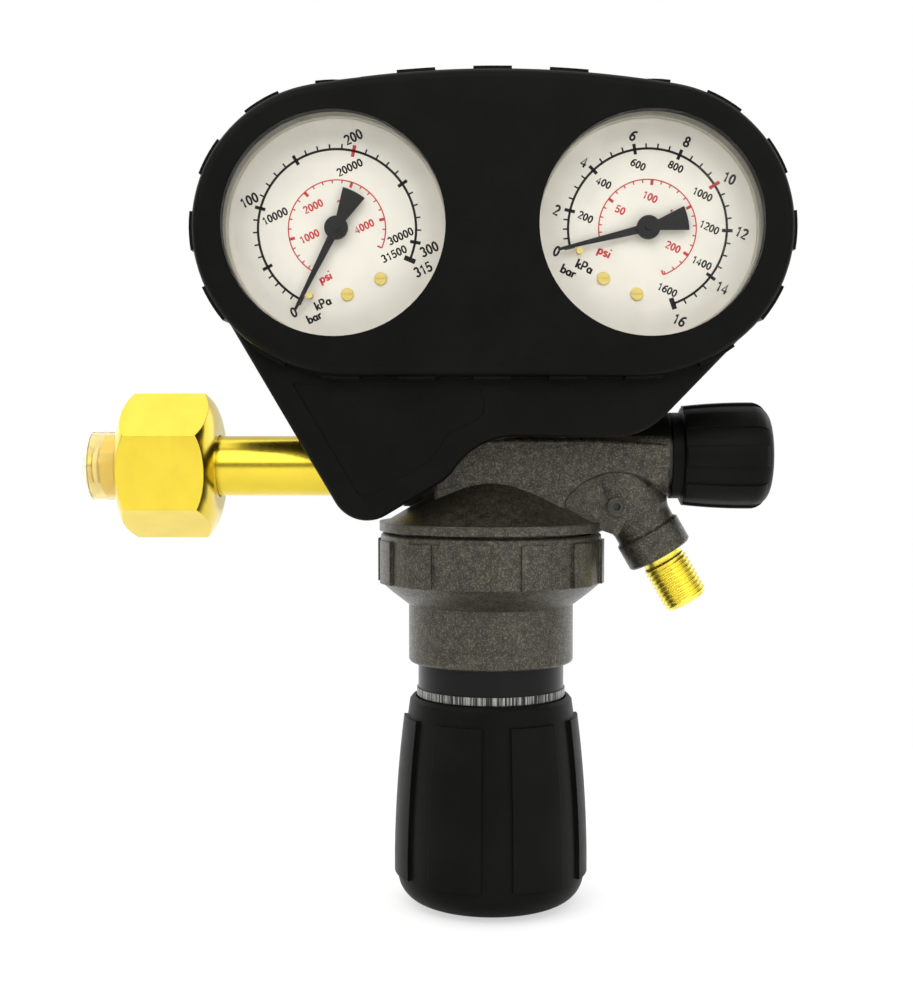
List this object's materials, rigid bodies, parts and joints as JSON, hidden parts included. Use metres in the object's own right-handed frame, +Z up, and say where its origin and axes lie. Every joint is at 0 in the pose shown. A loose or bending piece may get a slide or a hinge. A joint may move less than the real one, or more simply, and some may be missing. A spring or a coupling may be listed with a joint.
{
  "type": "gas pressure regulator",
  "caption": "Cylinder gas pressure regulator with two gauges in a moulded shroud, a round-ended adjusting knob below, a loose hexagon inlet nut and an outlet valve with knob.",
  "frame": {"origin": "centre of the inlet nose's end face, on the inlet axis", "axes": "+X from the inlet nose along the inlet axis to the body, +Z up along the body axis, the dials face -Y"},
  "size_m": [0.1969, 0.0665, 0.2315],
  "materials": {
    "hammered_paint": "hammered, satin",
    "black_plastic": "fine grain, matt",
    "brass": "polished",
    "bronze": "satin",
    "spring_steel": "satin",
    "aluminium": "satin",
    "black_rubber": "matt",
    "black_band": "gloss",
    "grey_ring": "satin",
    "clear_plastic": "translucent",
    "case_steel": "satin black",
    "dial_face": "matt white",
    "black_metal": "satin black",
    "window": "clear"
  },
  "bodies": {
    "regulator": {"regulator_body": "hammered_paint", "bonnet": "hammered_paint", "gas_band": "black_band", "neck_ring": "grey_ring", "diaphragm": "black_rubber", "slip_ring": "brass", "seat_capsule": "brass", "poppet_spring": "spring_steel", "main_spring": "spring_steel", "inlet_stem": "brass", "inlet_seal": "black_rubber", "inlet_filter": "bronze", "outlet_nipple": "brass", "outlet_valve_gland": "brass", "body_screw": "spring_steel", "gauge_shroud": "black_plastic", "shroud_back": "black_plastic", "back_screws": "spring_steel", "relief_housing": "brass", "relief_spring": "spring_steel", "high_gauge_case": "case_steel", "high_gauge_stem": "brass", "high_bourdon_tube": "bronze", "high_movement": "brass", "high_dial": "dial_face", "high_dial_screws": "brass", "high_stop_pin": "black_metal", "high_lens": "window", "low_gauge_case": "case_steel", "low_gauge_stem": "brass", "low_bourdon_tube": "bronze", "low_movement": "brass", "low_dial": "dial_face", "low_dial_screws": "brass", "low_stop_pin": "black_metal", "low_lens": "window"},
    "diaphragm_plate": {"diaphragm_plate": "aluminium"},
    "valve_poppet": {"valve_poppet": "brass"},
    "spring_button": {"spring_button": "spring_steel"},
    "adjusting_knob": {"pressure_knob": "black_plastic", "adjusting_screw": "spring_steel"},
    "nut_slip_ring": {"nut_slip_ring": "brass"},
    "inlet_nut": {"inlet_nut": "brass"},
    "inlet_cap": {"inlet_cap": "clear_plastic"},
    "outlet_plug": {"outlet_valve_plug": "brass"},
    "outlet_knob": {"outlet_valve_knob": "black_plastic", "outlet_valve_spindle": "brass"},
    "relief_piston": {"relief_piston": "brass"},
    "high_pointer": {"high_pointer": "black_metal"},
    "low_pointer": {"low_pointer": "black_metal"}
  },
  "joints": [
    {"name": "spring_button_slide", "type": "slide", "parent": "regulator", "child": "spring_button", "axis": [0, 0, 1], "range_m": [0, 0.007], "deforming": ["main_spring"]},
    {"name": "adjusting_knob_turn", "type": "hinge", "parent": "spring_button", "child": "adjusting_knob", "pos_m": [0.1155, 0, -0.09], "axis": [0, 0, 1], "range_deg": [0, 1440]},
    {"name": "diaphragm_plate_slide", "type": "slide", "parent": "regulator", "child": "diaphragm_plate", "axis": [0, 0, 1], "range_m": [0, 0.0008], "deforming": ["diaphragm"]},
    {"name": "valve_poppet_slide", "type": "slide", "parent": "regulator", "child": "valve_poppet", "axis": [0, 0, 1], "range_m": [0, 0.0008], "deforming": ["poppet_spring"]},
    {"name": "nut_slide", "type": "slide", "parent": "regulator", "child": "nut_slip_ring", "axis": [-1, 0, 0], "range_m": [-0.0165, 0.0164]},
    {"name": "nut_turn", "type": "hinge", "parent": "nut_slip_ring", "child": "inlet_nut", "pos_m": [0.02, 0, 0], "axis": [1, 0, 0], "continuous": true},
    {"name": "inlet_cap_slide", "type": "slide", "parent": "regulator", "child": "inlet_cap", "axis": [-1, 0, 0], "range_m": [0, 0.03]},
    {"name": "outlet_plug_slide", "type": "slide", "parent": "regulator", "child": "outlet_plug", "axis": [1, 0, 0], "range_m": [0, 0.0015]},
    {"name": "outlet_knob_turn", "type": "hinge", "parent": "outlet_plug", "child": "outlet_knob", "pos_m": [0.1755, 0, 0.003], "axis": [1, 0, 0], "range_deg": [0, 540]},
    {"name": "relief_piston_slide", "type": "slide", "parent": "regulator", "child": "relief_piston", "axis": [0, 1, 0], "range_m": [0, 0.001], "stiffness_N_per_m": 300, "deforming": ["relief_spring"]},
    {"name": "high_pointer_turn", "type": "hinge", "parent": "regulator", "child": "high_pointer", "pos_m": [0.0733, -0.022, 0.065], "axis": [0, 1, 0], "range_deg": [0, 265.8], "stiffness_Nm_per_rad": 0.0005},
    {"name": "low_pointer_turn", "type": "hinge", "parent": "regulator", "child": "low_pointer", "pos_m": [0.1577, -0.022, 0.065], "axis": [0, 1, 0], "range_deg": [0, 264.5], "stiffness_Nm_per_rad": 0.0005}
  ],
  "couplings": [
    {"joint": "spring_button_slide", "follows": "adjusting_knob_turn", "m_per_rad": 0.00027849},
    {"joint": "diaphragm_plate_slide", "follows": "adjusting_knob_turn", "m_per_rad": 0.000031828},
    {"joint": "valve_poppet_slide", "follows": "adjusting_knob_turn", "m_per_rad": 0.000031828},
    {"joint": "outlet_plug_slide", "follows": "outlet_knob_turn", "m_per_rad": 0.00015914}
  ]
}
